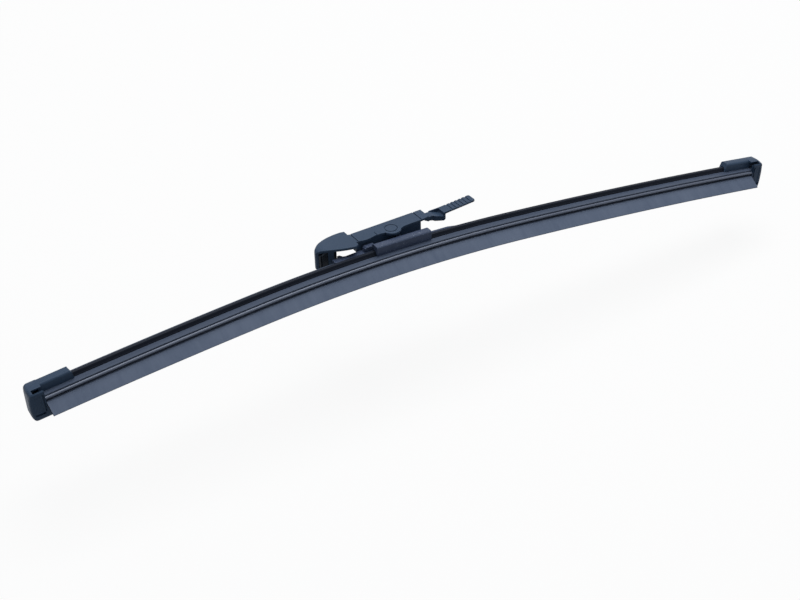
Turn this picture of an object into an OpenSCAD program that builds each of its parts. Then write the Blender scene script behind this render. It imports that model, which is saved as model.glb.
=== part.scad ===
// Flat rear wiper blade with a rocking arm adapter beside its ridge.
// X runs along the blade, Y away from the near side, Z up; origin on the adapter deck above the pin.

/* [Blade] */
// Rubber length left of the curvature centre
left_len = 143.1; // [120:0.1:170]
// Rubber length right of the curvature centre
right_len = 186.9; // [150:0.1:220]
// Radius of the middle arc, measured at the rail underside
mid_radius = 710; // [500:5:1000]
// Half length of the middle arc
mid_half = 58.4; // [45:0.1:80]
// Radius of the flatter outer arcs
outer_radius = 2459; // [1500:5:4000]
// Place of the pin along the blade from the curvature centre
pin_along = 5; // [0:0.1:10]
// Sideways distance from the ridge plane to the adapter middle
pin_aside = 7.85; // [7.8:0.05:9]
// Lean of the blade at rest, right end low
rest_lean = 2; // [0:0.1:3]

/* [Rails] */
// Thickness of a spring rail
rail_t = 0.9; // [0.7:0.05:1.1]
// Width of a spring rail
rail_w = 3.16; // [2.8:0.02:3.3]
// Middle of the slot between the rails, toward the near side
rail_mid = 0.7; // [0.6:0.01:0.8]
// Thickness of the rubber web between the rails
web_t = 0.9; // [0.7:0.05:1]
// Play on each side of the web
web_play = 0.05; // [0.02:0.01:0.1]
// Length of rail that runs on into each end cap
rail_over = 2.6; // [2:0.1:3]

/* [Rubber] */
// Height of the ridge above the rail tops
ridge_h = 1.6; // [1.3:0.05:1.8]
// Reach of the near shoulder from the ridge plane
shoulder_near = 5.2; // [4.9:0.05:5.4]
// Reach of the far shoulder from the ridge plane
shoulder_far = 3.0; // [2.6:0.05:3.05]
// Reach of the folded lip from the ridge plane
lip_reach = 10.15; // [9:0.05:11]
// Drop of the lip tip below the rail underside
lip_drop = 4.7; // [4:0.05:5.4]

/* [End caps] */
// Length of cap hood over the ridge
cap_hood = 12.6; // [10:0.1:18]
// Height of the cap roof above the rail underside
cap_top = 4.35; // [3.8:0.05:4.6]
// Half width of the cap roof
cap_half = 1.9; // [1.8:0.05:2.2]
// Radius of the rounded cap end seen from the side
cap_round = 8.0; // [7.6:0.1:8.6]
// Depth of the cap end below the rail underside
cap_low = 8.2; // [7.6:0.1:9]
// Reach of the cap end past the rubber
cap_reach = 5.6; // [5.4:0.05:6]
// Wall thickness of the cap end
cap_wall = 0.8; // [0.6:0.05:1]

/* [Saddle] */
// Start of the sleeve along the blade
sleeve_from = -4.1; // [-6:0.1:-3]
// End of the sleeve along the blade
sleeve_to = 20.6; // [16:0.1:26]
// Half width of the sleeve
sleeve_half = 2.1; // [2:0.05:2.4]
// Height of the sleeve above the rail underside
sleeve_top = 4.9; // [4.2:0.05:5.4]
// Thickness of the shelf and its wings
shelf_t = 1.0; // [0.8:0.05:1.1]
// Half length of the bridge that carries the ears
bridge_half = 4.6; // [4.2:0.1:5]
// Thickness of an ear
ear_t = 1.0; // [0.8:0.05:1.1]

/* [Pivot] */
// Depth of the pin axis below the deck
pin_drop = 3.4; // [3.3:0.05:3.6]
// Radius of the pivot pin
pin_r = 1.25; // [1:0.05:1.4]
// Running play round the pin
pin_play = 0.05; // [0.03:0.01:0.08]
// Radius of boss and ears round the pin
boss_r = 2.05; // [1.95:0.05:2.15]
// Half width of the adapter boss
boss_half = 1.0; // [0.8:0.05:1.1]

/* [Adapter] */
// Left end of the channel body
body_from = -14.4; // [-15:0.1:-12]
// Right end of the channel body
body_to = 15.1; // [12:0.1:17]
// Half width of the channel body
body_half = 3.2; // [3.15:0.05:3.3]
// Wall thickness of the channel body
body_wall = 0.85; // [0.7:0.05:0.9]
// Depth of the channel walls
body_deep = 4.66; // [4.2:0.02:5]
// Depth of the channel walls over the ears
body_arch = 3.5; // [3.4:0.02:3.6]
// Right end of the deck
deck_to = 18.9; // [18:0.1:21]
// Thickness of the deck
deck_t = 0.85; // [0.7:0.05:0.9]
// Radius of the round pad on the deck
pad_r = 2.7; // [2.4:0.05:3]
// Width of the deck's swelling round the pad
pad_margin = 0.9; // [0.7:0.05:0.9]
// Tip of the release tongue
tongue_to = 41.6; // [38:0.1:45]
// Half width of the release tongue
tongue_half = 2.3; // [2:0.05:2.6]
// Half width of the neck of the tongue
neck_half = 1.7; // [1.4:0.05:1.9]
// Thickness of the thumb plate
plate_t = 0.75; // [0.6:0.05:1]
// Number of thumb grooves on the tongue
groove_count = 6; // [4:1:7]
// Spacing of the thumb grooves
groove_step = 1.77; // [1.5:0.01:1.9]
// Depth of the thumb grooves
groove_deep = 0.22; // [0.1:0.01:0.4]

/* [Hood] */
// Right edge of the hood
hood_edge = -14.7; // [-15.5:0.1:-14]
// Nose of the hood
hood_nose = -30.5; // [-32:0.1:-29]
// Height of the hood above the deck
hood_up = 0.4; // [0.2:0.05:0.6]
// Reach of the hood on its near side
hood_near_w = 6.6; // [6:0.05:7]
// Reach of the hood on its far side
hood_far_w = 6.65; // [6:0.05:7]
// Fall of the roof at the nose
nose_fall = 2.2; // [1.5:0.1:3]
// Wall thickness of the hood
hood_wall = 0.8; // [0.6:0.05:1]
// Depth of the hood skirts below the deck
skirt_deep = 8.4; // [6:0.1:9]
// Right end of the near skirt
near_skirt_to = -24.6; // [-26:0.1:-24.3]
// Right end of the far skirt
far_skirt_to = -19.6; // [-21:0.1:-19]

/* [Hidden] */
$fn = 96;
deg = 180 / PI;
mid_ang = mid_half / mid_radius * deg;
left_ang = mid_ang + (left_len - mid_half) / outer_radius * deg;
right_ang = mid_ang + (right_len - mid_half) / outer_radius * deg;
side_x = (mid_radius - outer_radius) * sin(mid_ang);
side_z = mid_radius * (cos(mid_ang) - 1) - outer_radius * cos(mid_ang);
rail_in = web_t / 2 + web_play;
rail_out = rail_in + rail_w;
ridge_z = rail_t + ridge_h;
relief = 0.03;
mid_rings = 24;
side_rings = 12;
near_y = rail_mid + rail_out;
ear_out = boss_half + 0.15 + ear_t;
pin_up = 2.8;
cap_back = 3.95;
over = 30;
pad_x = 2.1;
pad_y = -2.0;
hood_mid = 0.3;
far_full = hood_nose + 13.5;
near_full = hood_nose + 14.3;
far_turn = 1.5;
window_from = hood_nose + hood_wall;
window_to = near_skirt_to - 1.9;
neck_z = -1.35;
plate_z = -0.45;
plate_from = 27;

// Places the blade group in the adapter frame.
module blade_place() {
    translate([0, 0, -pin_drop])
        rotate([0, rest_lean, 0])
            translate([-pin_along, -pin_aside, -pin_up])
                children();
}

// Sweeps a section drawn as (y, z) along the middle arc between two angles.
module mid_sweep(a0, a1) {
    translate([0, 0, -mid_radius])
        rotate([90, 0, 0])
            rotate([0, 0, 90 - a1])
                rotate_extrude(angle = a1 - a0)
                    translate([mid_radius, 0])
                        rotate(-90)
                            children();
}

// Angle of the blade curve at a distance along it.
function bend(s) =
    abs(s) <= mid_half
        ? s / mid_radius * deg
        : sign(s) * (mid_ang + (abs(s) - mid_half) / outer_radius * deg);

// Point of the rail underside at a distance along the blade.
function along(s) =
    abs(s) <= mid_half
        ? [mid_radius * sin(bend(s)), mid_radius * (cos(bend(s)) - 1)]
        : [sign(s) * side_x + outer_radius * sin(bend(s)), side_z + outer_radius * cos(bend(s))];

// Distances of the rings that a run is built from, closer together in the middle arc.
function rings(from, to) = concat(
    [for (i = [0 : side_rings - 1]) from + (-mid_half - from) * i / side_rings],
    [for (i = [0 : mid_rings]) -mid_half + 2 * mid_half * i / mid_rings],
    [for (i = [1 : side_rings]) mid_half + (to - mid_half) * i / side_rings]
);

// Closes a solid over rows of points. Each list in ends names the points round one convex field
// of a row, and together the fields close both ends.
module skin(rows, ends) {
    n = len(rows[0]);
    last = len(rows) - 1;
    polyhedron(
        points = [for (row = rows, p = row) p],
        faces = concat(
            [for (field = ends) [for (i = [len(field) - 1 : -1 : 0]) field[i]]],
            [for (field = ends) [for (i = field) last * n + i]],
            [
                for (k = [0 : last - 1], i = [0 : n - 1])
                    [k * n + i, k * n + (i + 1) % n, (k + 1) * n + (i + 1) % n, (k + 1) * n + i]
            ]
        ),
        convexity = 8
    );
}

// Runs a section of (y, z) points along the blade curve as one solid.
module run_along(section, ends, from, to) {
    skin(
        [
            for (s = rings(from, to))
                [
                    for (p = section)
                        [along(s)[0] + p[1] * sin(bend(s)), p[0], along(s)[1] + p[1] * cos(bend(s))]
                ]
        ],
        ends
    );
}

// Stands its children at an end of the rubber, X pointing out of the blade.
module at_end(ang) {
    translate([side_x + outer_radius * sin(ang), 0, side_z + outer_radius * cos(ang)])
        rotate([0, ang, 0])
            children();
}

// Section of the rubber: ridge, web, shoulders with bead, neck and folded lip.
function rubber_section(w) =
    [
        [-1.43, rail_t], [-1.0, rail_t + 0.45], [-0.78, ridge_z - 0.25], [-0.68, ridge_z - 0.08],
        [-0.5, ridge_z], [0.43, ridge_z - 0.03], [0.64, ridge_z - 0.2], [0.95, rail_t],
        [w - rail_mid, rail_t + relief], [w - rail_mid, -relief],
        [shoulder_far, 0], [shoulder_far, -0.5], [shoulder_far - 0.5, -1.0],
        [w - rail_mid + 0.3, -1.15], [w - rail_mid, -1.35], [w - rail_mid + 0.1, -1.75],
        [-0.9, -2.5], [-5.2, -3.5], [-lip_reach + 0.5, -lip_drop - 0.55],
        [-lip_reach + 0.05, -lip_drop - 0.35], [-lip_reach, -lip_drop],
        [-shoulder_near, -1.62], [-2.2, -1.5], [-w - rail_mid, -1.35],
        [-w - rail_mid - 0.3, -1.15], [-shoulder_near + 0.9, -1.0],
        [-shoulder_near + 0.35, -0.85], [-shoulder_near + 0.06, -0.5],
        [-shoulder_near + 0.06, -0.1], [-shoulder_near + 0.3, 0.22],
        [-near_y - 0.06, 0.42], [-near_y - 0.06, 0], [-w - rail_mid, -relief],
        [-w - rail_mid, rail_t + relief]
    ];

// Fields of the rubber section: ridge, web, shoulders, bead top, neck and lip.
rubber_fields = [
    [0, 1, 2, 3, 4, 5, 6, 7, 8, 33],
    [33, 8, 9, 32],
    [32, 9, 10, 11, 12, 13, 24, 25, 26, 27, 28, 31],
    [31, 28, 29, 30],
    [24, 13, 14, 23],
    [23, 14, 15, 16, 17, 18, 19, 20, 21, 22]
];

// Section of a rail whose inner edge stands at the given distance from the ridge plane.
function rail_section(y0) = [[y0, rail_t], [y0 + rail_w, rail_t], [y0 + rail_w, 0], [y0, 0]];

module wiping_rubber() {
    color([0.12, 0.13, 0.15])
        blade_place()
            run_along(rubber_section(web_t / 2), rubber_fields, -left_len, right_len);
}

module near_spring_rail() {
    color([0.22, 0.23, 0.26])
        blade_place()
            run_along(rail_section(-rail_mid - rail_out), [[0, 1, 2, 3]],
                -left_len - rail_over, right_len + rail_over);
}

module far_spring_rail() {
    color([0.22, 0.23, 0.26])
        blade_place()
            run_along(rail_section(-rail_mid + rail_in), [[0, 1, 2, 3]],
                -left_len - rail_over, right_len + rail_over);
}

// Tunnel over the ridge, cut in caps and saddle, drawn as (y, z).
module ridge_tunnel() {
    polygon([
        [-1.53, rail_t - 1], [-1.53, rail_t + 0.15], [-1.08, rail_t + 0.6], [-0.88, ridge_z - 0.2],
        [-0.6, ridge_z + 0.12], [0.55, ridge_z + 0.12], [0.8, ridge_z - 0.1],
        [1.05, rail_t + 0.1], [1.05, rail_t - 1]
    ]);
}

// Hood of a cap over the ridge, softer on its near edge, drawn as (y, z).
module cap_hood_section() {
    difference() {
        polygon([
            [-cap_half - 0.15, rail_t], [-cap_half - 0.05, cap_top - 1.0],
            [-cap_half + 0.25, cap_top - 0.4], [-cap_half + 0.85, cap_top],
            [cap_half - 0.55, cap_top], [cap_half - 0.15, cap_top - 0.2],
            [cap_half, cap_top - 0.55], [cap_half + 0.15, rail_t]
        ]);
        ridge_tunnel();
    }
}

// Outline of the cap end seen along the blade.
module cap_end_outline() {
    polygon([
        [-cap_half + 0.8, cap_top - 0.05], [-3.4, cap_top - 0.6], [-4.6, 2.9], [-5.2, 2.1],
        [-5.35, 1.2], [-5.35, -5.9], [-5.1, -6.9], [-4.5, -7.7], [-3.6, -cap_low],
        [2.4, -cap_low], [3.4, -7.5], [cap_back, -6.2], [cap_back, 1.6], [3.4, 2.9],
        [cap_half - 0.5, cap_top - 0.05]
    ]);
}

// Plan of the cap end, fuller on the near side.
module cap_plan() {
    polygon([
        [0, -5.4], [cap_reach - 1.1, -5.4], [cap_reach - 0.35, -4.9], [cap_reach, -4.0],
        [cap_reach, -0.6], [cap_reach - 0.3, 1.4], [cap_reach - 0.9, 2.9],
        [cap_reach - 1.7, cap_back + 0.05], [0, cap_back + 0.05]
    ]);
}

// Side view of the rounded cap end.
module cap_side() {
    intersection() {
        translate([-6, -cap_low - 1])
            square([16, cap_low + cap_top + 2]);
        translate([cap_reach - cap_round, -1.9])
            circle(r = cap_round);
    }
}

// Rounded end wall, open toward the blade behind its near panel.
module cap_end() {
    difference() {
        intersection() {
            rotate([90, 0, 90])
                linear_extrude(height = 8)
                    cap_end_outline();
            translate([0, 8, 0])
                rotate([90, 0, 0])
                    linear_extrude(height = 16)
                        cap_side();
            translate([0, 0, -over / 2])
                linear_extrude(height = over)
                    cap_plan();
        }
        translate([-1, -6.35, -cap_low + cap_wall])
            cube([cap_reach + 1 - 2.2, 6.35 + cap_back - cap_wall, cap_low + 6]);
        translate([-1, -6.35, -cap_low + cap_wall])
            cube([cap_reach + 1 - cap_wall, 6.35 - 0.5, cap_low + 1.7]);
    }
}

// Block that holds both rail ends.
module rail_holder() {
    play = 0.05;
    translate([0.3, -near_y - 2 * play, -1.1])
        difference() {
            cube([cap_reach - 1.4, near_y + 3.2, 2.6]);
            for (y = [play, play + 2 * rail_in + rail_w])
                translate([-1, y, 1.1 - play])
                    cube([1 + rail_over, rail_w + 2 * play, rail_t + 2 * play]);
        }
}

module cap(ang) {
    at_end(ang) {
        translate([-cap_hood, 0, 0])
            rotate([90, 0, 90])
                linear_extrude(height = cap_hood + 0.4)
                    cap_hood_section();
        cap_end();
        rail_holder();
        translate([0.3, -cap_half, 1.2])
            cube([cap_reach - 2, 2 * cap_half, cap_top - 1.6]);
        translate([0.3, -near_y - 0.6, -5.6])
            cube([cap_reach - 1, 0.55, 7.2]);
    }
}

module left_end_cap() {
    color([0.13, 0.15, 0.18])
        blade_place()
            mirror([1, 0, 0])
                cap(left_ang);
}

module right_end_cap() {
    color([0.13, 0.15, 0.18])
        blade_place()
            cap(right_ang);
}

// Sleeve that stands on both rails over the ridge, rounder on its far edge.
module sleeve_section() {
    difference() {
        polygon([
            [-sleeve_half, rail_t], [-sleeve_half, sleeve_top - 0.9],
            [-sleeve_half + 0.12, sleeve_top - 0.45], [-sleeve_half + 0.45, sleeve_top - 0.12],
            [-sleeve_half + 0.9, sleeve_top], [sleeve_half - 1.5, sleeve_top],
            [sleeve_half - 0.75, sleeve_top - 0.2], [sleeve_half - 0.25, sleeve_top - 0.65],
            [sleeve_half, sleeve_top - 1.3], [sleeve_half, rail_t]
        ]);
        ridge_tunnel();
    }
}

// Side view of the rib that stiffens the sleeve's left end.
module sleeve_rib() {
    polygon([
        [sleeve_from - 3.5, rail_t + 0.5], [sleeve_from - 3.2, rail_t + 2.4],
        [sleeve_from - 2.6, rail_t + 2.9], [sleeve_from + 1.2, rail_t + 3.0],
        [sleeve_from + 1.2, rail_t + 0.5]
    ]);
}

// Plan of the shelf beside the ridge with its wings and end tab.
module shelf_plan() {
    polygon([
        [-19.8, 1.15], [-19.5, 1.6], [-17.7, 5.3], [-16.7, 5.3], [-15.9, 3.9], [-14.9, 3.6],
        [-7.6, 4.0], [-6.6, 4.2], [-3.4, 1.15]
    ]);
    polygon([
        [-6.6, 4.2], [-3.4, 1.15], [35.7, 1.15], [31, 2.3], [sleeve_to + 1.4, 2.3],
        [sleeve_to - 1, 4.2]
    ]);
    translate([pin_along - bridge_half, 2])
        square([2 * bridge_half, pin_aside - 2 + ear_out]);
}

module ear_profile() {
    polygon([
        [-bridge_half + 0.2, -1.2], [-bridge_half + 0.2, -0.9], [-1.7, 1.1], [1.7, 1.1],
        [bridge_half - 0.2, -0.9], [bridge_half - 0.2, -1.2]
    ]);
    circle(r = boss_r);
}

module saddle() {
    a0 = sleeve_from / mid_radius * deg;
    a1 = sleeve_to / mid_radius * deg;
    color([0.2, 0.23, 0.29])
        blade_place() {
            mid_sweep(a0, a1)
                sleeve_section();
            difference() {
                intersection() {
                    mid_sweep(-2, 3.4)
                        translate([1.1, rail_t])
                            square([12, shelf_t]);
                    translate([0, 0, -4])
                        linear_extrude(height = 10)
                            shelf_plan();
                }
                translate([pin_along - 3, pin_aside - boss_half - 0.1, -3])
                    cube([6, 2 * boss_half + 0.2, 8]);
            }
            translate([0, sleeve_half + 1.6, 0])
                rotate([90, 0, 0])
                    linear_extrude(height = 2.2)
                        sleeve_rib();
            translate([pin_along, pin_aside, pin_up])
                difference() {
                    for (side = [-1, 1])
                        translate([0, side > 0 ? ear_out : -ear_out + ear_t, 0])
                            rotate([90, 0, 0])
                                linear_extrude(height = ear_t)
                                    ear_profile();
                    rotate([90, 0, 0])
                        cylinder(r = pin_r, h = 10, center = true);
                }
        }
}

module pivot_pin() {
    color([0.62, 0.63, 0.65])
        translate([0, 0, -pin_drop])
            rotate([90, 0, 0])
                cylinder(r = pin_r, h = 2 * ear_out, center = true);
}

// Plan of the deck with the swelling round the pad.
module deck_plan() {
    polygon([
        [hood_edge - 1.3, 3.1], [deck_to, 3.1], [deck_to, -3.0], [deck_to - 1.6, -3.3],
        [body_to, -3.5], [10.6, -3.5], [6.8, -3.7], [5.0, -4.5], [pad_x, -3], [-2.2, -3.6],
        [-3.6, -3.25], [-6.2, -3.25], [-8.4, -3.8], [-10.4, -3.9], [-13.4, -3.25],
        [hood_edge - 1.3, -3.1]
    ]);
    translate([pad_x, pad_y - 0.6])
        circle(r = pad_r + pad_margin);
}

// Deck with its two cross grooves, the short side notch and the ring round the pad.
module deck() {
    difference() {
        translate([0, 0, -deck_t])
            linear_extrude(height = deck_t)
                deck_plan();
        for (x = [hood_edge + 1.1, body_to])
            translate([x, -over / 2, -0.35])
                cube([0.4, over, 1]);
        translate([-5.05, -over, -0.25])
            cube([0.3, over - 0.9, 1]);
        translate([pad_x, pad_y, -0.3])
            difference() {
                cylinder(r = pad_r, h = 1);
                translate([0, 0, -1])
                    cylinder(r = pad_r - 0.4, h = 3);
            }
    }
}

// Channel that hangs under the deck, arched over the ears.
module channel() {
    difference() {
        translate([body_from, -body_half, -body_deep])
            cube([body_to - body_from, 2 * body_half, body_deep - 0.5]);
        translate([body_from + body_wall, -body_half + body_wall, -body_deep - 1])
            cube([body_to - body_from - 2 * body_wall, 2 * (body_half - body_wall),
                body_deep + 1 - deck_t]);
        translate([-bridge_half - 0.7, -over / 2, -body_deep - 1])
            cube([2 * bridge_half + 1.4, over, body_deep + 1 - body_arch]);
        translate([0, 0, -pin_drop])
            rotate([-90, 0, 0])
                cylinder(r = pin_r + 0.25, h = over);
    }
}

// Boss that turns on the pin.
module boss() {
    difference() {
        union() {
            translate([-boss_r, -boss_half, -pin_drop])
                cube([2 * boss_r, 2 * boss_half, pin_drop - 0.5]);
            translate([0, 0, -pin_drop])
                rotate([90, 0, 0])
                    cylinder(r = boss_r, h = 2 * boss_half, center = true);
        }
        translate([0, 0, -pin_drop])
            rotate([90, 0, 0])
                cylinder(r = pin_r + pin_play, h = over, center = true);
    }
}

// Share of the way from where a side is full to the nose.
function to_nose(x, full) = min(1, max(0, (full - x) / (full - hood_nose)));

// Sides of the hood and height of its roof at a place along the blade.
function hood_far(x) =
    hood_mid + hood_far_w * sqrt(1 - pow(to_nose(x, far_full), 2))
        - 0.08 * pow(max(0, x - far_full), 2);
function hood_near(x) =
    hood_mid - hood_near_w * pow(1 - pow(to_nose(x, near_full), 1.3), 0.77)
        + 0.5 * max(0, x - near_full);
function hood_roof(x) = hood_up - nose_fall * (1 - sqrt(1 - pow(to_nose(x, far_full), 8)));

// Outer skin of the hood at one place, from the near side over the roof to the far side.
function hood_outside(x, near_foot, far_foot) =
    let (
        near = hood_near(x),
        far = hood_far(x),
        top = hood_roof(x),
        edge = min(0.4, (far - near) / 3),
        turn = min(far_turn, (far - near) / 2.5)
    )
    concat(
        [
            [x, near, near_foot], [x, near, top - edge],
            [x, near + edge * 0.3, top - edge * 0.3], [x, near + edge, top]
        ],
        [for (a = [90 : -22.5 : 0]) [x, far - turn + turn * cos(a), top - turn + turn * sin(a)]],
        [[x, far, far_foot]]
    );

// Inner skin at the same place, running back from the far side to the near side.
function hood_inside(x, near_foot, far_foot) =
    let (
        near = hood_near(x) + hood_wall,
        far = hood_far(x) - hood_wall,
        top = hood_roof(x) - hood_wall,
        turn = min(far_turn, (hood_far(x) - hood_near(x)) / 2.5) - hood_wall
    )
    concat(
        [[x, far, far_foot]],
        [for (a = [0 : 22.5 : 90]) [x, far - turn + turn * cos(a), top - turn + turn * sin(a)]],
        [
            [x, near + 0.3, top], [x, near + 0.1, top - 0.04], [x, near, top - 0.12],
            [x, near, near_foot]
        ]
    );

// Lower edge of each skirt, which ends in a rim where the skirt is open.
function near_foot(x) =
    x >= window_to && x <= near_skirt_to ? -skirt_deep : hood_roof(x) - hood_wall - 0.25;
function far_foot(x) = x <= far_skirt_to ? -skirt_deep : hood_roof(x) - far_turn - 0.15;

// Hollow hood: a solid nose and a shell with a window and open ends.
module hood() {
    step = 0.02;
    skin(
        [
            for (x = [
                window_from, window_from + 0.6, window_from + 1.4, window_from + 2.3,
                window_to - step, window_to, near_skirt_to, near_skirt_to + step,
                near_skirt_to + 1.7, near_skirt_to + 3.3, far_skirt_to, far_skirt_to + step,
                far_full - 1, near_full, hood_edge
            ])
                concat(
                    hood_outside(x, near_foot(x), far_foot(x)),
                    hood_inside(x, near_foot(x), far_foot(x))
                )
        ],
        [for (i = [0 : 8]) [i, i + 1, 18 - i, 19 - i]]
    );
    skin(
        [
            for (x = [hood_nose + 0.06, hood_nose + 0.2, hood_nose + 0.45, window_from + step])
                hood_outside(x, -skirt_deep, -skirt_deep)
        ],
        [[0, 1, 2, 3, 4, 5, 6, 7, 8, 9]]
    );
}

// Side view of the tongue with neck, hooked lug and thumb plate.
module tongue_side() {
    polygon([
        [deck_to - 1, -0.5], [deck_to, -0.7], [deck_to + 0.5, neck_z], [plate_from - 3.4, neck_z],
        [plate_from, neck_z], [tongue_to - 0.5, plate_z], [tongue_to - 0.1, plate_z - 0.15],
        [tongue_to, plate_z - 0.4], [tongue_to - 0.4, plate_z - plate_t],
        [plate_from + 0.5, neck_z - plate_t], [plate_from + 0.3, neck_z - plate_t - 0.2],
        [plate_from + 0.3, -4.3], [plate_from, -4.75], [plate_from - 0.6, -4.95],
        [plate_from - 6.6, -3.2], [deck_to + 0.6, -3.3], [deck_to - 0.2, -2.8], [deck_to - 1, -2.4]
    ]);
}

// Plan of the tongue: narrow neck, wider lug and plate with round corners.
module tongue_plan() {
    translate([deck_to - 1.5, -neck_half])
        square([5, 2 * neck_half]);
    polygon([
        [plate_from - 5.4, -neck_half], [plate_from - 4.8, -tongue_half],
        [tongue_to - 1, -tongue_half], [tongue_to - 0.3, -tongue_half + 0.3],
        [tongue_to, -tongue_half + 1], [tongue_to, tongue_half - 1],
        [tongue_to - 0.3, tongue_half - 0.3], [tongue_to - 1, tongue_half],
        [plate_from - 4.8, tongue_half], [plate_from - 5.4, neck_half]
    ]);
}

// Pocket in the lug, open on its near side, that the tongue flexes at.
module tongue_pocket() {
    translate([0, tongue_half - 0.45, 0])
        rotate([90, 0, 0])
            linear_extrude(height = over)
                polygon([
                    [plate_from - 5.6, neck_z + 1], [plate_from - 5.2, neck_z],
                    [plate_from - 1.1, neck_z - 1.5], [plate_from - 0.6, neck_z - 1.2],
                    [plate_from - 0.3, neck_z + 1]
                ]);
}

module tongue() {
    slope = atan((plate_z - neck_z) / (tongue_to - plate_from));
    difference() {
        intersection() {
            translate([0, over / 2, 0])
                rotate([90, 0, 0])
                    linear_extrude(height = over)
                        tongue_side();
            translate([0, 0, -over / 2])
                linear_extrude(height = over)
                    tongue_plan();
        }
        tongue_pocket();
        for (i = [0 : groove_count - 1])
            translate([tongue_to, 0, plate_z])
                rotate([0, -slope, 0])
                    translate([-2.8 - i * groove_step, -over / 2, -groove_deep])
                        cube([0.8, over, 1]);
    }
}

module arm_adapter() {
    color([0.14, 0.16, 0.19]) {
        deck();
        channel();
        boss();
        hood();
        tongue();
    }
}

wiping_rubber();
near_spring_rail();
far_spring_rail();
left_end_cap();
right_end_cap();
saddle();
pivot_pin();
arm_adapter();
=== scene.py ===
# %% [markdown]
# # A flat rear wiper blade, dressed in Blender
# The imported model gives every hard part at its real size. This notebook keeps those parts where
# they are, rounds their edges, sweeps a finer rubber along the blade's curve and gives each
# surface its finish. Everything is in metres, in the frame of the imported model.

# %% Load the frame
import math

import bmesh
import bpy
from mathutils import Matrix, Vector


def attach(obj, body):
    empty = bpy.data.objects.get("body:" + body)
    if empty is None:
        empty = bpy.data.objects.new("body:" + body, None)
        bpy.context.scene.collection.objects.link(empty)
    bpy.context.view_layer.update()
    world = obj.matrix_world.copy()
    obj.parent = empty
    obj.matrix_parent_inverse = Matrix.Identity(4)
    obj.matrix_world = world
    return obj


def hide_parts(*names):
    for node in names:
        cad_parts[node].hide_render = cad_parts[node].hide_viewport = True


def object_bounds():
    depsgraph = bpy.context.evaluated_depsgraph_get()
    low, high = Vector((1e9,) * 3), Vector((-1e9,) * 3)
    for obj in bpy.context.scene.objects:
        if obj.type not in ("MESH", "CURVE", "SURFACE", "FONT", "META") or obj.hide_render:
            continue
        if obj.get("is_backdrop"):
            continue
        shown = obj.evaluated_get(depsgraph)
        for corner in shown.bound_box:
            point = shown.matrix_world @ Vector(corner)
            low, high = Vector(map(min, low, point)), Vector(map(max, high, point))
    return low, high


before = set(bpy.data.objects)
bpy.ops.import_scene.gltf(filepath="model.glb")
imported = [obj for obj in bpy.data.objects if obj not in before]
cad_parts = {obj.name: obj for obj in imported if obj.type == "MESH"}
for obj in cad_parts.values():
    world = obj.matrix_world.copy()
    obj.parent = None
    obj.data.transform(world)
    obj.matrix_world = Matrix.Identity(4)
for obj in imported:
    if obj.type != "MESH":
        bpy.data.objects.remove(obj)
cad_low, cad_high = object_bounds()
mm = 0.001


def add_object(name, data):
    made = bpy.data.objects.new(name, data)
    bpy.context.scene.collection.objects.link(made)
    return made


print("nodes:", sorted(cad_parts))

# %% [markdown]
# ## The camera first
# The photo looks down on the blade from its near side, left of the middle. The camera stands at
# a real distance with a long lens, so that the near end is drawn a little larger than the far end.

# %% Camera
camera_place = Vector((-296.9, -499.4, 356.8)) * mm
camera_right = Vector((0.8450, -0.5341, -0.0266))
camera_down = Vector((-0.3171, -0.4604, -0.8292))
camera_lens = 79.0
sensor_width = 36.0


def make_camera():
    data = bpy.data.cameras.new("camera")
    data.lens = camera_lens
    data.sensor_width = sensor_width
    data.clip_start = 0.01
    camera = add_object("camera", data)
    right = camera_right.normalized()
    up = -(camera_down - camera_down.dot(right) * right).normalized()
    back = right.cross(up)
    turn = Matrix((right, up, back)).transposed()
    camera.matrix_world = Matrix.Translation(camera_place) @ turn.to_4x4()
    bpy.context.scene.camera = camera


make_camera()
print("camera distance (m):", round(camera_place.length, 3))

# %% [markdown]
# ## Writing node maths as sums
# A node tree is easier to read as an expression. This class wraps one socket, so that
# `a * 2 + b` adds the Math nodes for it. Any other node comes from `node`, which takes the
# node's type, its settings and the values or links of its sockets. The same class serves
# materials and Geometry Nodes, because both have the Math node.

# %% Socket class
class Term:
    """One output socket of a node tree, with arithmetic."""

    def __init__(self, tree, socket):
        self.tree = tree
        self.socket = socket

    def node(self, kind, settings=None, inputs=None, output=0):
        made = self.tree.nodes.new(kind)
        for name, value in (settings or {}).items():
            setattr(made, name, value)
        for name, value in (inputs or {}).items():
            link_or_set(self.tree, made.inputs[name], value)
        return Term(self.tree, made.outputs[output]) if made.outputs else None

    def maths(self, operation, *values):
        inputs = dict(enumerate(values))
        return self.node("ShaderNodeMath", {"operation": operation}, inputs)

    def __add__(self, other):
        return self.maths("ADD", self, other)

    def __sub__(self, other):
        return self.maths("SUBTRACT", self, other)

    def __rsub__(self, other):
        return self.maths("SUBTRACT", other, self)

    def __mul__(self, other):
        return self.maths("MULTIPLY", self, other)

    def __truediv__(self, other):
        return self.maths("DIVIDE", self, other)

    def __abs__(self):
        return self.maths("ABSOLUTE", self)

    __radd__ = __add__
    __rmul__ = __mul__


def link_or_set(tree, socket, value):
    if isinstance(value, Term):
        tree.links.new(value.socket, socket)
    else:
        socket.default_value = value


print("operators:", [name for name in dir(Term) if name.startswith("__r")])
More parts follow.
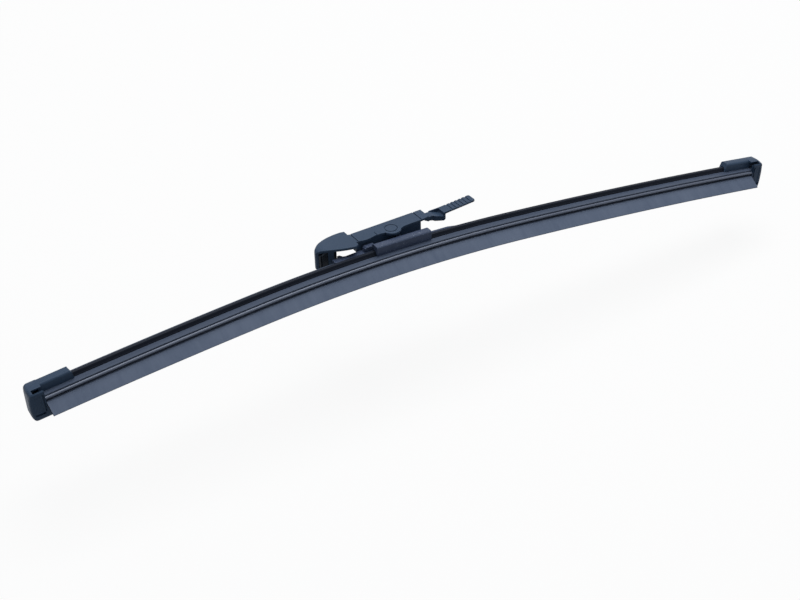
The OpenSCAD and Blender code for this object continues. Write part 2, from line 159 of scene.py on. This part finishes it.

# %% [markdown]
# ## Moulded plastic
# The caps and the adapter are moulded in black plastic with a bluish cast, as the photo shows
# them. A fine grain from the mould breaks up the shine, and broad cloudy changes in gloss keep
# large faces from looking like flat paint. The grain goes into Bump, the clouds into Roughness.
# Inside the hood the two webs have a darker plastic of their own. It is painted shade,
# standing for the shadow that falls there. Whether that is shadow or the plastic itself can't
# be told from the photo.

# %% Material helpers
def new_material(name):
    material = bpy.data.materials.new(name)
    material.use_nodes = True
    tree = material.node_tree
    tree.nodes.clear()
    coordinates = tree.nodes.new("ShaderNodeTexCoord")
    return material, Term(tree, coordinates.outputs["Object"])


def noise(place, scale, detail=2.0, stretch=(1, 1, 1)):
    mapped = place.node("ShaderNodeMapping", None, {"Vector": place, "Scale": stretch})
    sockets = {"Vector": mapped, "Scale": scale, "Detail": detail}
    return place.node("ShaderNodeTexNoise", None, sockets)


def mix_colours(share, first, second):
    sockets = {0: share, 6: first, 7: second}
    return share.node("ShaderNodeMix", {"data_type": "RGBA"}, sockets, 2)


def bump(height, strength, distance):
    sockets = {"Height": height, "Strength": strength, "Distance": distance}
    return height.node("ShaderNodeBump", None, sockets)


def rgba(red, green, blue):
    return (red, green, blue, 1.0)


white = rgba(1, 1, 1)
cool_white = rgba(0.80, 0.88, 1.0)


def finish_material(place, colour, roughness, normal, specular=0.5, metallic=0.0):
    tint = cool_white if metallic == 0.0 else white
    sockets = {
        "Base Color": colour,
        "Roughness": roughness,
        "Normal": normal,
        "Specular IOR Level": specular,
        "Specular Tint": tint,
        "Metallic": metallic,
    }
    shader = place.node("ShaderNodeBsdfPrincipled", None, sockets)
    place.node("ShaderNodeOutputMaterial", None, {"Surface": shader})


print("helpers ready")

# %% Plastic
def moulded_plastic(name, dark, light):
    material, place = new_material(name)
    clouds = noise(place, 90.0, 3.0)
    grain = noise(place, 3600.0, 2.0)
    colour = mix_colours(clouds, dark, light)
    finish_material(place, colour, clouds * 0.16 + 0.40, bump(grain, 0.30, 0.00006), 0.16)
    return material


plastic = moulded_plastic(
    "black_moulded_plastic", rgba(0.022, 0.044, 0.082), rgba(0.044, 0.070, 0.118)
)
# Painted shade: a darkened copy of the plastic for the webs inside the hood, standing for the
# shadow there.
painted_shade_plastic = moulded_plastic(
    "painted_shade_moulded_plastic", rgba(0.005, 0.007, 0.011), rgba(0.012, 0.016, 0.024)
)
print("made", plastic.name, painted_shade_plastic.name)

# %% [markdown]
# ## Textured coat, spring steel and pin
# The saddle wears a thick textured coat, rougher and bluer than the plastic. The spring rails
# have a thin even black paint over rolled steel, so the grain runs along the blade. The pin is
# bare turned steel and hardly shows.

# %% Metals
glint_limit = 0.72


def textured_coat():
    material, place = new_material("textured_coat")
    pimples = noise(place, 2300.0, 3.0)
    clouds = noise(place, 150.0, 2.0)
    colour = mix_colours(clouds, rgba(0.028, 0.042, 0.080), rgba(0.060, 0.080, 0.140))
    # Painted glints: small light specks in the colour stand for the shine on the coat's pimples.
    painted_glints = noise(place, 1900.0, 1.0)
    painted_glints = painted_glints.maths("GREATER_THAN", painted_glints, glint_limit)
    colour = mix_colours(painted_glints, colour, rgba(0.22, 0.26, 0.34))
    finish_material(place, colour, clouds * 0.12 + 0.40, bump(pimples, 0.60, 0.00012), 0.25)
    return material


def painted_spring():
    material, place = new_material("painted_spring_steel")
    rolled = noise(place, 900.0, 2.0, (0.03, 1, 1))
    colour = mix_colours(rolled, rgba(0.040, 0.056, 0.092), rgba(0.074, 0.094, 0.140))
    finish_material(place, colour, rolled * 0.15 + 0.40, bump(rolled, 0.10, 0.00002), 0.22)
    return material


def turned_steel():
    material, place = new_material("turned_steel")
    rings = noise(place, 1500.0, 1.0, (0.1, 3, 0.1))
    colour = mix_colours(rings, rgba(0.45, 0.46, 0.48), rgba(0.60, 0.61, 0.62))
    normal = bump(rings, 0.10, 0.00002)
    finish_material(place, colour, rings * 0.15 + 0.25, normal, metallic=1.0)
    return material


coat = textured_coat()
spring = painted_spring()
steel = turned_steel()
print("made", coat.name, spring.name, steel.name)

# %% [markdown]
# ## Three materials on one extrusion
# The blade's rubber is extruded in one piece, but its surfaces differ. The ridge is dull black.
# The shoulder bead is smoother, and its colour is lightened as a painted highlight, so it shows
# a thin bright line. Such a lip is often coated with graphite to slide on wet glass, and here it
# has a lighter dry grey.

# %% Rubber
def body_rubber():
    material, place = new_material("body_rubber")
    dust = noise(place, 700.0, 3.0, (0.2, 1, 1))
    colour = mix_colours(dust, rgba(0.006, 0.008, 0.014), rgba(0.016, 0.020, 0.032))
    finish_material(place, colour, dust * 0.2 + 0.50, bump(dust, 0.15, 0.00004), 0.12)
    return material


def bead_rubber_painted_highlight():
    material, place = new_material("bead_rubber_painted_highlight")
    highlight_mottle = noise(place, 420.0, 2.0, (0.3, 1, 1))
    # Painted highlight: the bead's colour is far lighter than the rest of the rubber, standing for
    # the lamp's bright line on its shoulder.
    colour = mix_colours(highlight_mottle, rgba(0.072, 0.088, 0.132), rgba(0.110, 0.130, 0.182))
    finish_material(place, colour, highlight_mottle * 0.14 + 0.30, bump(highlight_mottle, 0.05, 0.00001), 0.6)
    return material


def lip_rubber():
    material, place = new_material("graphite_lip")
    streaks = noise(place, 420.0, 3.0, (1, 0.2, 0.2))
    clouds = noise(place, 45.0, 2.0)
    powder = noise(place, 2600.0, 2.0)
    share = streaks * 0.45 + clouds * 0.55
    colour = mix_colours(share, rgba(0.060, 0.085, 0.140), rgba(0.165, 0.200, 0.275))
    finish_material(place, colour, share * 0.12 + 0.60, bump(powder, 0.35, 0.00006), 0.2)
    return material


rubber_black = body_rubber()
rubber_painted_highlight = bead_rubber_painted_highlight()
rubber_grey = lip_rubber()
print("made", rubber_black.name, rubber_painted_highlight.name, rubber_grey.name)

# %% [markdown]
# ## The rubber's section
# The section is drawn once, as the extrusion die would be cut: ridge on top, two grooves that
# take the spring rails, a rounded shoulder bead, a thin neck and the lip, which lies over to the
# near side. Each corner has its own radius, and a short arc replaces it.

# %% Section
arc_steps = 5
longest_share = 0.48   # of a side that one corner's arc may use


def arc_corner(before, corner, after, radius):
    """Points of an arc of about that radius that rounds one corner of an outline."""
    to_before = before - corner
    to_after = after - corner
    opening = to_before.angle(to_after)
    shorter = min(to_before.length, to_after.length)
    reach = min(radius / math.tan(opening / 2), shorter * longest_share)
    start = corner + to_before.normalized() * reach
    end = corner + to_after.normalized() * reach
    points = []
    for step in range(arc_steps + 1):
        share = step / arc_steps
        first = start.lerp(corner, share)
        second = corner.lerp(end, share)
        points.append(first.lerp(second, share))
    return points


# Across, height and corner radius in mm, from the ridge's near foot round to it again
rubber_corners = [
    (-1.43, 0.90, 0.0), (-1.02, 1.32, 0.5), (-0.74, 2.48, 0.28), (0.60, 2.46, 0.25),
    (0.94, 0.90, 0.0), (-0.25, 0.92, 0.0), (-0.25, -0.02, 0.0), (3.00, 0.00, 0.15),
    (3.00, -0.80, 0.5), (0.05, -1.15, 0.2), (-0.25, -1.40, 0.2), (-0.15, -1.75, 0.3),
    (-0.90, -2.50, 0.8), (-5.20, -3.48, 3.0), (-9.78, -5.20, 0.2), (-10.14, -4.72, 0.12),
    (-5.20, -1.63, 0.9), (-1.25, -1.47, 0.2), (-1.40, -1.12, 0.2), (-4.55, -0.98, 0.4),
    (-5.13, -0.60, 0.45), (-5.13, 0.08, 0.5), (-4.43, 0.41, 0.18), (-4.43, -0.02, 0.0),
    (-1.15, -0.02, 0.0), (-1.15, 0.92, 0.0),
]


def section_points():
    places = [Vector((y, z)) for y, z, _ in rubber_corners]
    points = []
    for index, (_, _, radius) in enumerate(rubber_corners):
        before = places[index - 1]
        after = places[(index + 1) % len(places)]
        if radius > 0:
            points += arc_corner(before, places[index], after, radius)
        else:
            points.append(places[index])
    return points


section = section_points()
print("section points:", len(section))

# %% [markdown]
# ## Sweeping it with Geometry Nodes
# The blade's curve follows a rule: a tight arc in the middle and flatter arcs beyond it, which
# press the ends on the glass. The tree starts from a straight line, works out each point's
# angle and place from its distance along the blade, and sweeps the section along the result.
# Its sizes are named inputs, so another blade needs only other numbers.

# %% Curve rule
blade_sizes = {
    "Left length": 143.05 * mm,
    "Right length": 186.85 * mm,
    "Middle half": 58.4 * mm,
    "Middle radius": 710.0 * mm,
    "Outer radius": 2459.0 * mm,
}
pin_drop = 3.4 * mm
rest_lean = math.radians(2.0)
pin_in_blade = Vector((5.0, 7.85, 2.8)) * mm
curve_points = 221
blade_place = (
    Matrix.Translation((0, 0, -pin_drop))
    @ Matrix.Rotation(rest_lean, 4, "Y")
    @ Matrix.Translation(-pin_in_blade)
)


def section_curve():
    """The section as a closed curve object, which the tree sweeps."""
    data = bpy.data.curves.new("section", "CURVE")
    data.dimensions = "2D"
    spline = data.splines.new("POLY")
    spline.points.add(len(section) - 1)
    for point, place in zip(spline.points, section):
        point.co = (-place.x * mm, -place.y * mm, 0, 1)
    spline.use_cyclic_u = True
    return add_object("section", data)


print("blade length (m):", round(blade_sizes["Left length"] + blade_sizes["Right length"], 4))

# %% Sweep tree
def sweep_tree():
    tree = bpy.data.node_groups.new("blade_sweep", "GeometryNodeTree")
    face = tree.interface
    face.new_socket("Geometry", in_out="OUTPUT", socket_type="NodeSocketGeometry")
    for name in blade_sizes:
        face.new_socket(name, in_out="INPUT", socket_type="NodeSocketFloat")
    face.new_socket("Section", in_out="INPUT", socket_type="NodeSocketObject")
    face.new_socket("Rubber", in_out="INPUT", socket_type="NodeSocketMaterial")
    entry = tree.nodes.new("NodeGroupInput")
    given = {s.name: Term(tree, s) for s in entry.outputs if s.name}
    left, right = given["Left length"], given["Right length"]
    half, tight, flat = given["Middle half"], given["Middle radius"], given["Outer radius"]
    start = left.node("ShaderNodeCombineXYZ", None, {"X": 0 - left})
    end = right.node("ShaderNodeCombineXYZ", None, {"X": right})
    line = left.node("GeometryNodeCurvePrimitiveLine", None, {"Start": start, "End": end})
    sockets = {"Curve": line, "Count": curve_points}
    line = line.node("GeometryNodeResampleCurve", None, sockets)
    position = line.node("GeometryNodeInputPosition")
    along = position.node("ShaderNodeSeparateXYZ", None, {"Vector": position})
    side = along.maths("SIGN", along)
    inner = abs(along).maths("MINIMUM", abs(along), half)
    outer = abs(along) - inner
    inner_angle = inner / tight
    angle = inner_angle + outer / flat
    drift = tight - flat
    x = side * (drift * inner_angle.maths("SINE", inner_angle) + flat * angle.maths("SINE", angle))
    bowed = drift * (inner_angle.maths("COSINE", inner_angle) - 1)
    z = bowed + flat * (angle.maths("COSINE", angle) - 1)
    place = x.node("ShaderNodeCombineXYZ", None, {"X": x, "Z": z})
    bent = line.node("GeometryNodeSetPosition", None, {"Geometry": line, "Position": place})
    upright = bent.node("GeometryNodeSetCurveNormal", {"mode": "Z_UP"}, {"Curve": bent})
    shape = bent.node("GeometryNodeObjectInfo", None, {"Object": given["Section"]}, "Geometry")
    sockets = {"Curve": upright, "Profile Curve": shape, "Fill Caps": True}
    swept = upright.node("GeometryNodeCurveToMesh", None, sockets)
    real = swept.node("GeometryNodeRealizeInstances", None, {"Geometry": swept})
    sockets = {"Geometry": real, "Material": given["Rubber"]}
    coated = real.node("GeometryNodeSetMaterial", None, sockets)
    coated.node("NodeGroupOutput", None, {"Geometry": coated})
    return tree


tree = sweep_tree()
print("sweep nodes:", len(tree.nodes))

# %% Bake the sweep
def baked(tree, values, name):
    """Runs a tree on an empty mesh and returns the result as a plain object."""
    holder = add_object(name, bpy.data.meshes.new(name))
    modifier = holder.modifiers.new("sweep", "NODES")
    modifier.node_group = tree
    for socket in tree.interface.items_tree:
        if socket.item_type == "SOCKET" and socket.name in values:
            modifier[socket.identifier] = values[socket.name]
    evaluated = holder.evaluated_get(bpy.context.evaluated_depsgraph_get())
    mesh = bpy.data.meshes.new_from_object(evaluated)
    holder.modifiers.remove(modifier)
    holder.data = mesh
    return holder


def make_rubber():
    profile = section_curve()
    values = dict(blade_sizes, Section=profile, Rubber=rubber_black)
    piece = baked(tree, values, "swept_rubber")
    bpy.data.objects.remove(profile)
    return piece


rubber = make_rubber()
print("rubber faces:", len(rubber.data.polygons))

# %% [markdown]
# The lip is the part of the section below the neck on the near side, and the bead is the
# shoulder outside the near rail. Their faces are picked while the sweep still stands in the
# blade's own frame, where the middle of the blade is at zero. The whole piece is then set in
# place with its pin on the adapter's pin.

# %% Lip faces and place
neck_height, neck_across = -1.43 * mm, -1.2 * mm
bead_height, bead_across = 0.45 * mm, -4.40 * mm
lip_index, bead_index = 1, 2


def curve_height(along):
    """Height and slope of the rail underside at a distance from the middle, as in the tree."""
    tight, flat = blade_sizes["Middle radius"], blade_sizes["Outer radius"]
    half = blade_sizes["Middle half"]
    inner = min(abs(along), half)
    bend = inner / tight
    total = bend + (abs(along) - inner) / flat
    return (tight - flat) * (math.cos(bend) - 1) + flat * (math.cos(total) - 1), total


def colour_rubber(piece):
    piece.data.materials.append(rubber_grey)
    piece.data.materials.append(rubber_painted_highlight)
    count = 0
    for face in piece.data.polygons:
        base, slope = curve_height(face.center.x)
        height = (face.center.z - base) / math.cos(slope)
        if height < neck_height and face.center.y < neck_across:
            face.material_index = lip_index
            count += 1
        elif height < bead_height and face.center.y < bead_across:
            face.material_index = bead_index
    return count


grey_faces = colour_rubber(rubber)
rubber.data.transform(blade_place)
for face in rubber.data.polygons:
    face.use_smooth = True
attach(rubber, "blade")
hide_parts("wiping_rubber")
print("lip faces:", grey_faces)

# %% [markdown]
# ## Soft edges on the hard parts
# A moulded or cast part never has a knife edge. Each hard part is copied from the frame, its
# loose triangles are merged into clean faces, and a bevel rounds what is sharp. A face that
# runs round a notch is split into convex ones, so that no triangle of it can span the
# opening. The copy stays inside the part's box: the bevel takes material off outer edges
# and adds a small fillet only in inner corners.

# %% Dress a part
merge_distance = 0.003 * mm
flat_angle = math.radians(1.0)


def merged_copy(node):
    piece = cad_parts[node].copy()
    piece.data = piece.data.copy()
    piece.parent = None
    for key in list(piece.keys()):
        del piece[key]
    bpy.context.scene.collection.objects.link(piece)
    shape = bmesh.new()
    shape.from_mesh(piece.data)
    bmesh.ops.remove_doubles(shape, verts=shape.verts, dist=merge_distance)
    bmesh.ops.dissolve_limit(
        shape, angle_limit=flat_angle, verts=shape.verts, edges=shape.edges
    )
    bmesh.ops.connect_verts_concave(shape, faces=shape.faces[:])
    shape.to_mesh(piece.data)
    shape.free()
    return piece


def soften(piece, width, sharp_from):
    """Rounds edges sharper than an angle in degrees, and shades the other faces smoothly."""
    edge = piece.modifiers.new("soft_edges", "BEVEL")
    edge.width = width
    edge.segments = 3
    edge.limit_method = "ANGLE"
    edge.angle_limit = math.radians(sharp_from)
    for face in piece.data.polygons:
        face.use_smooth = True
    smooth = piece.modifiers.new("weighted", "WEIGHTED_NORMAL")
    smooth.keep_sharp = True


def dress(node, body, material, width):
    piece = merged_copy(node)
    piece.name = node + "_finished"
    piece.data.materials.clear()
    piece.data.materials.append(material)
    soften(piece, width, 28)
    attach(piece, body)
    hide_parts(node)
    return piece


adapter = dress("arm_adapter", "adapter", plastic, 0.16 * mm)
saddle = dress("saddle", "blade", coat, 0.14 * mm)
print("dressed:", adapter.name, saddle.name)

# %% [markdown]
# ## Webs, rib and wing end
# Through the window in the hood's near side the photo shows a dark wall and not the floor, so
# the hood has two inner webs. Under the deck's bulge the view is closed too, here by a low rib
# on the saddle's bridge. The photo shows only that these places are closed, so the form of the
# webs and of the rib is a guess. The saddle's left wing goes on past the hood's near skirt.
# All are plates, drawn in side view and given their thickness across the blade.

# %% Plates
def plate(name, outline, across, material, body, rounding, place=Matrix()):
    """A flat plate: its outline in x and z, between two places across the blade."""
    shape = bmesh.new()
    first = [shape.verts.new((x * mm, across[0] * mm, z * mm)) for x, z in outline]
    last = [shape.verts.new((x * mm, across[1] * mm, z * mm)) for x, z in outline]
    shape.faces.new(first)
    shape.faces.new(last[::-1])
    for index in range(len(outline)):
        after = (index + 1) % len(outline)
        shape.faces.new((first[after], first[index], last[index], last[after]))
    bmesh.ops.recalc_face_normals(shape, faces=shape.faces)
    shape.transform(place)
    mesh = bpy.data.meshes.new(name)
    shape.to_mesh(mesh)
    shape.free()
    mesh.materials.append(material)
    piece = add_object(name, mesh)
    edge = piece.modifiers.new("soft_edges", "BEVEL")
    edge.width = rounding
    edge.segments = 2
    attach(piece, body)
    return piece


hood_web = [
    (-28.9, -1.4), (-28.9, -8.3), (-24.6, -8.3), (-22.7, -5.6), (-22.7, -0.5), (-28.0, -0.9),
]
nose_web = [(-29.6, -2.0), (-29.6, -8.3), (-27.6, -8.3), (-27.6, -1.2)]
bridge_rib = [(2.4, -4.5), (5.2, -4.5), (4.9, -2.9), (2.7, -2.9)]
wing_end = [(-20.6, 0.60), (-18.3, 0.66), (-18.3, 1.66), (-20.6, 1.60)]
# Both webs wear the darkened plastic, painted shade for the inside of the hood.
plate("hood_web", hood_web, (-2.4, -1.7), painted_shade_plastic, "adapter", 0.1 * mm)
plate("nose_web", nose_web, (-1.8, 0.6), painted_shade_plastic, "adapter", 0.1 * mm)
plate("bridge_rib", bridge_rib, (-4.6, -3.95), coat, "blade", 0.1 * mm)
plate("wing_end", wing_end, (1.3, 4.2), coat, "blade", 0.2 * mm, blade_place)
print("webs, rib and wing end added")

# %% [markdown]
# ## Two end caps
# Each cap is a cup that closes the end of the blade, with a long hood over the ridge. The cup is
# lofted: one outline seen along the blade is repeated at growing distance, drawn in toward
# the end so that it closes softly. Its top is open between hood and near wall, where the rails
# go in, and its near wall carries a recessed panel. The wall gets its thickness afterwards.

# %% Cap outlines
# Across, height and where the wall begins along the blade, in mm
cup_outline = [
    (1.5, 4.3, 0.0), (-1.2, 4.3, 0.0), (-2.2, 4.25, 0.0), (-3.1, 4.15, 0.0), (-4.9, 3.75, 0.3),
    (-5.3, 3.3, 0.4), (-5.35, 2.3, 0.4), (-5.35, 0.3, 0.4), (-5.35, -0.2, 0.1),
    (-5.35, -3.7, 0.05), (-5.35, -4.1, -0.8), (-5.35, -5.1, -0.9), (-5.35, -6.1, -1.0),
    (-5.35, -7.1, -1.15), (-5.2, -7.7, -1.2), (-4.8, -8.1, -1.2), (-4.1, -8.25, -1.1),
    (2.4, -8.25, 0.0), (3.4, -7.5, 0.0), (3.95, -6.2, 0.0), (3.95, 1.8, 0.0), (3.4, 3.1, 0.0),
]
# Distance along the blade, with none for where the wall begins, and how far it is drawn in
cup_stations = [
    (None, 0.0), (0.5, 0.0), (1.1, 0.0), (1.5, 0.0), (4.0, 0.0), (4.6, 0.05), (5.05, 0.22),
    (5.35, 0.55), (5.52, 1.0), (5.6, 1.6),
]
hood_outline = [
    (-2.05, 0.9), (-1.95, 3.35), (-1.65, 3.95), (-1.05, 4.35), (1.35, 4.35), (1.75, 4.15),
    (1.9, 3.8), (2.05, 0.9), (1.05, 0.95), (0.8, 2.5), (0.55, 2.7), (-0.6, 2.7),
    (-0.88, 2.4), (-1.53, 0.95),
]
hood_lengths = {"left_end_cap": 12.7, "right_end_cap": 13.7}
cup_wall = 0.7
cup_length = 5.6
cup_middle = (-0.7, -1.9)
cup_half = (4.7, 6.3)
swell_most, swell_middle, swell_half = 0.6, -3.2, 5.6
recede_share, recede_from, recede_power = 0.1, -0.6, 1.85
hood_slant, slant_from, slant_height = 1.1, 1.6, 2.75
hood_into_cup = 0.9


def drawn_in(y, z, inset):
    """An outline point moved toward the middle of the outline."""
    across, up = cup_middle
    across += (y - across) * (1 - inset / cup_half[0])
    up += (z - up) * (1 - inset / cup_half[1])
    return across, up


def swell(y, z):
    """How far the end wall stands out at half height, and falls back on the far side."""
    out = swell_most * max(0.0, 1 - ((z - swell_middle) / swell_half) ** 2)
    return out - recede_share * max(0.0, y - recede_from) ** recede_power


def loft(shape, rings):
    rows = [[shape.verts.new(Vector(p) * mm) for p in ring] for ring in rings]
    count = len(rows[0])
    for row, above in zip(rows, rows[1:]):
        for index in range(count):
            after = (index + 1) % count
            shape.faces.new((row[index], row[after], above[after], above[index]))
    return rows


print("cup outline points:", len(cup_outline))

# %% Cap forms
def cup_form():
    shape = bmesh.new()
    rings = []
    for station, inset in cup_stations:
        ring = []
        for y, z, start in cup_outline:
            x = start if station is None else station
            y, z = drawn_in(y, z, inset)
            ring.append((x + swell(y, z) * (max(x, 0) / cup_length) ** 2, y, z))
        rings.append(ring)
    rows = loft(shape, rings)
    shape.faces.new(rows[-1])
    bmesh.ops.recalc_face_normals(shape, faces=shape.faces)
    end = max(shape.faces, key=lambda face: face.calc_center_median().x)
    if end.normal.x < 0:
        bmesh.ops.reverse_faces(shape, faces=shape.faces)
    return shape


def face_place(face):
    return face.calc_center_median() / mm


# Reach along the blade and in height of each recess in the near wall, its rim and its depth
recesses = {
    "panel": ((1.5, 4.3), (-5.1, 2.3), 0.3, -0.28),
    "gap": ((0.5, 1.1), (-5.1, 2.3), 0.04, -0.5),
    "slot": ((1.1, 4.6), (-6.1, -5.1), 0.06, -0.6),
}
near_wall = (-99.0, -5.2)
open_top = ((-99.0, 4.0), (-4.9, -3.1), (3.5, 99.0))


def faces_within(shape, *reaches):
    """The faces whose middle lies within a reach along the blade, across it and in height."""
    def inside(face):
        return all(low < c < high for c, (low, high) in zip(face_place(face), reaches))
    return [face for face in shape.faces if inside(face)]


def cut_cup(shape):
    """Cuts the recesses in the near wall and the opening for the rails."""
    chosen = [
        (faces_within(shape, along, near_wall, up), rim, depth)
        for along, up, rim, depth in recesses.values()
    ]
    for faces, rim, depth in chosen:
        bmesh.ops.inset_region(
            shape, faces=faces, thickness=rim * mm, depth=depth * mm, use_even_offset=True
        )
    bmesh.ops.delete(shape, geom=faces_within(shape, *open_top), context="FACES")


def cap_end_place(side, length):
    """From the cap's own frame, with x outward from the rubber's end, to the blade's."""
    tight, flat = blade_sizes["Middle radius"], blade_sizes["Outer radius"]
    height, slope = curve_height(length)
    bend = blade_sizes["Middle half"] / tight
    out = (tight - flat) * math.sin(bend) + flat * math.sin(slope)
    turn = Matrix.Translation((out, 0, height)) @ Matrix.Rotation(slope, 4, "Y")
    return Matrix.Diagonal((side, 1, 1, 1)) @ turn


def make_cap(node, side, length):
    cup = cup_form()
    cut_cup(cup)
    bmesh.ops.solidify(cup, geom=cup.faces[:], thickness=cup_wall * mm)
    lean = [max(0.0, (z - slant_from) / slant_height) ** 2 for _, z in hood_outline]
    first = [
        (hood_slant * back - hood_lengths[node], y, z)
        for (y, z), back in zip(hood_outline, lean)
    ]
    last = [(hood_into_cup, y, z) for y, z in hood_outline]
    hood = bmesh.new()
    rows = loft(hood, [first, last])
    hood.faces.new(rows[0])
    hood.faces.new(rows[1])
    bmesh.ops.recalc_face_normals(hood, faces=hood.faces)
    mesh = bpy.data.meshes.new(node + "_finished")
    hood.to_mesh(mesh)
    hood.free()
    cup.from_mesh(mesh)
    place = blade_place @ cap_end_place(side, length)
    cup.transform(place)
    if side < 0:
        bmesh.ops.reverse_faces(cup, faces=cup.faces)
    cup.to_mesh(mesh)
    cup.free()
    mesh.materials.append(plastic)
    piece = add_object(node + "_finished", mesh)
    soften(piece, 0.22 * mm, 35)
    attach(piece, "blade")
    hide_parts(node)
    return piece


# %% Make both caps
left_cap = make_cap("left_end_cap", -1, blade_sizes["Left length"])
right_cap = make_cap("right_end_cap", 1, blade_sizes["Right length"])
print("caps:", len(left_cap.data.polygons), len(right_cap.data.polygons))

# %% Parts kept from the frame
def coat_node(node, material):
    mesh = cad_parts[node].data
    mesh.materials.clear()
    mesh.materials.append(material)


coat_node("near_spring_rail", spring)
coat_node("far_spring_rail", spring)
coat_node("pivot_pin", steel)
print("kept from the frame: rails and pin")

# %% [markdown]
# ## Floor and light
# The photo is a cut-out on white. The blade is held in the air by its adapter, so the floor lies
# far enough below for either end to rock down. It keeps a soft shadow and looks white to the
# eye, also in reflections. The light is a wide soft panel above, so faces that look up are lit
# and upright faces stay dark, as in the photo.

# %% Floor
floor_half = 4.0
floor_gap = 21.0 * mm
glow_share = 0.88


def looked_at(tree):
    """1 for a ray that shows the background to the eye, directly or in a reflection."""
    path = tree.nodes.new("ShaderNodeLightPath")
    direct = Term(tree, path.outputs["Is Camera Ray"])
    glossy = Term(tree, path.outputs["Is Glossy Ray"])
    through = Term(tree, path.outputs["Is Transmission Ray"])
    return direct.maths("MAXIMUM", direct, glossy.maths("MAXIMUM", glossy, through))


def make_floor():
    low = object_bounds()[0].z - floor_gap
    mesh = bpy.data.meshes.new("floor")
    corners = [(-1, -1), (1, -1), (1, 1), (-1, 1)]
    places = [(x * floor_half, y * floor_half, low) for x, y in corners]
    mesh.from_pydata(places, [], [(0, 1, 2, 3)])
    floor = add_object("floor", mesh)
    material, place = new_material("floor_white")
    seen = looked_at(place.tree)
    grey = mix_colours(seen, rgba(0.30, 0.30, 0.30), rgba(0.90, 0.90, 0.90))
    shade = place.node("ShaderNodeBsdfDiffuse", None, {"Color": grey})
    glow = place.node("ShaderNodeEmission", None, {"Color": white, "Strength": 1.0})
    both = place.node("ShaderNodeMixShader", None, {0: seen * glow_share, 1: shade, 2: glow})
    place.node("ShaderNodeOutputMaterial", None, {"Surface": both})
    mesh.materials.append(material)
    floor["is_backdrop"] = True
    return floor


floor = make_floor()
print("floor at z (m):", round(floor.data.vertices[0].co.z, 4))

# %% Lights
def area_light(name, place, target, size, power):
    data = bpy.data.lights.new(name, "AREA")
    data.shape = "DISK"
    data.size = size
    data.energy = power
    lamp = add_object(name, data)
    lamp.location = place
    aim = Vector(target) - Vector(place)
    lamp.rotation_mode = "QUATERNION"
    lamp.rotation_quaternion = aim.to_track_quat("-Z", "Y")


middle = (cad_low + cad_high) / 2
area_light("panel_above", (0.27, 0.20, 1.25), middle, 1.3, 15.5)
area_light("rim_left", (-1.3, 0.5, 0.5), middle, 0.5, 1.0)

# %% World and colour
def make_world():
    world = bpy.data.worlds.new("studio")
    world.use_nodes = True
    tree = world.node_tree
    tree.nodes.clear()
    seen = looked_at(tree)
    dim = seen.node("ShaderNodeBackground", None, {"Color": rgba(0.9, 0.95, 1), "Strength": 0.25})
    bright = seen.node("ShaderNodeBackground", None, {"Color": white, "Strength": 1.0})
    both = seen.node("ShaderNodeMixShader", None, {0: seen, 1: dim, 2: bright})
    seen.node("ShaderNodeOutputWorld", None, {"Surface": both})
    bpy.context.scene.world = world


make_world()
bpy.context.scene.view_settings.view_transform = "Standard"
print("view transform:", bpy.context.scene.view_settings.view_transform)

# %% [markdown]
# ## Check the size and finish
# ## The size
# The dressed object fills the same box as the imported model, apart from the caps' soft ends,
# which stand out a little more. The last cell prints the imported model's box.

# %% Box of the imported model
print("cad box:", cad_low, cad_high)
